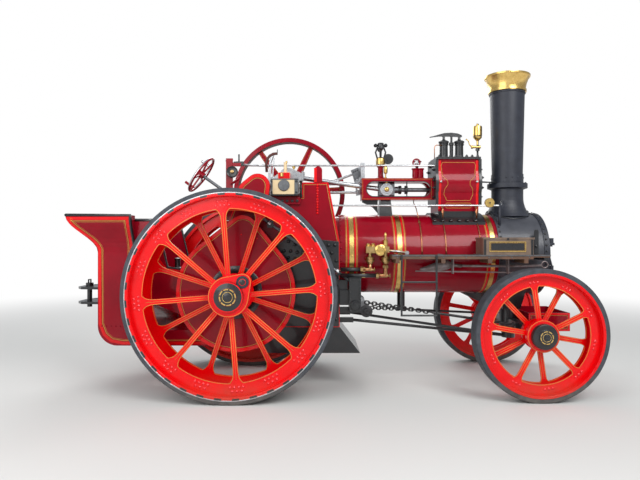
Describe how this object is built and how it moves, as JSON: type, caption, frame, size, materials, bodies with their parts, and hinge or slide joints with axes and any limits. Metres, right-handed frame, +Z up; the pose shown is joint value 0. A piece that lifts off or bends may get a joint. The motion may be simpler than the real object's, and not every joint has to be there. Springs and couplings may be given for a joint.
{
  "type": "steam traction engine",
  "caption": "Steam traction engine: boiler with overtype engine, chimney, geared rear wheels, chain-steered front axle and a tender with drawbar.",
  "frame": {"origin": "on the ground, midway between the front and rear ends, on the centre line", "axes": "+X forwards, +Y to the driver's left, +Z up"},
  "size_m": [5.25, 2.16, 3.285],
  "materials": {
    "crimson": "gloss",
    "wheel_red": "gloss",
    "black": "satin",
    "dark_steel": "satin",
    "steel": "brushed",
    "brass": "polished",
    "bronze": "satin",
    "cream": "gloss",
    "wood": "varnished",
    "tyre": "matte"
  },
  "bodies": {
    "engine": {"boiler_barrel": "crimson", "boiler_bands": "brass", "firebox": "crimson", "ashpan": "black", "smokebox": "black", "smokebox_front": "black", "chimney_base": "black", "chimney_barrel": "black", "chimney_cap": "brass", "perch_bracket": "black", "hornplates": "crimson", "rear_axle": "dark_steel", "gear_covers": "crimson", "crank_bearings": "cream", "crankshaft": "steel", "crank_guard": "crimson", "connecting_rod": "steel", "crosshead": "steel", "trunk_guide": "crimson", "motion_bracket": "black", "valve_gear": "steel", "cylinder_block": "crimson", "cylinder_flanges": "black", "safety_valves": "black", "whistle": "brass", "governor": "dark_steel", "feed_pump": "bronze", "control_rods": "steel", "footboard": "wood", "name_box": "wood", "side_step": "black", "fire_irons": "dark_steel", "steering_gear": "black", "steering_chains": "dark_steel", "tender_tank": "crimson", "tender_sides": "crimson", "drawbar_hitch": "black"},
    "front_axle": {"front_axle": "black", "front_tray": "crimson"},
    "front_wheel_right": {"front_wheel_right": "wheel_red", "front_tyre_right": "tyre"},
    "front_wheel_left": {"front_wheel_left": "wheel_red", "front_tyre_left": "tyre"},
    "rear_wheel_right": {"rear_wheel_right": "wheel_red", "rear_tyre_right": "tyre"},
    "rear_wheel_left": {"rear_wheel_left": "wheel_red", "rear_tyre_left": "tyre"},
    "flywheel": {"flywheel": "crimson"},
    "smokebox_door": {"smokebox_door": "black"},
    "fire_door": {"fire_door": "black"},
    "steering_wheel": {"steering_wheel": "crimson", "steering_column": "dark_steel"},
    "box_lid": {"box_lid": "wood"}
  },
  "joints": [
    {"name": "steer", "type": "hinge", "parent": "engine", "child": "front_axle", "pos_m": [2.005, 0, 0.62], "axis": [0, 0, 1], "range_deg": [-20, 20], "deforming": ["steering_chains"]},
    {"name": "front_wheel_right_spin", "type": "hinge", "parent": "front_axle", "child": "front_wheel_right", "pos_m": [2.005, -0.78, 0.62], "axis": [0, 1, 0], "continuous": true},
    {"name": "front_wheel_left_spin", "type": "hinge", "parent": "front_axle", "child": "front_wheel_left", "pos_m": [2.005, 0.78, 0.62], "axis": [0, 1, 0], "continuous": true},
    {"name": "rear_wheel_right_spin", "type": "hinge", "parent": "engine", "child": "rear_wheel_right", "pos_m": [-0.875, -0.6, 0.99], "axis": [0, 1, 0], "continuous": true},
    {"name": "rear_wheel_left_spin", "type": "hinge", "parent": "engine", "child": "rear_wheel_left", "pos_m": [-0.875, 0.6, 0.99], "axis": [0, 1, 0], "continuous": true},
    {"name": "flywheel_spin", "type": "hinge", "parent": "engine", "child": "flywheel", "pos_m": [-0.405, 0.5, 2.05], "axis": [0, 1, 0], "continuous": true},
    {"name": "smokebox_door_swing", "type": "hinge", "parent": "engine", "child": "smokebox_door", "pos_m": [2.311, -0.396, 1.358], "axis": [0, 0, -1], "range_deg": [0, 110]},
    {"name": "fire_door_swing", "type": "hinge", "parent": "engine", "child": "fire_door", "pos_m": [-0.6453, -0.21, 1.29], "axis": [0, 0, 1], "range_deg": [0, 100]},
    {"name": "steering_wheel_turn", "type": "hinge", "parent": "engine", "child": "steering_wheel", "pos_m": [-1.241, -0.45, 2.163], "axis": [0.8141, 0, -0.5807], "range_deg": [-2000, 2000]},
    {"name": "box_lid_swing", "type": "hinge", "parent": "engine", "child": "box_lid", "pos_m": [1.7735, -0.427, 1.51], "axis": [-1, 0, 0], "range_deg": [0, 80]}
  ],
  "couplings": [
    {"joint": "steering_wheel_turn", "follows": "steer", "ratio": -100}
  ]
}
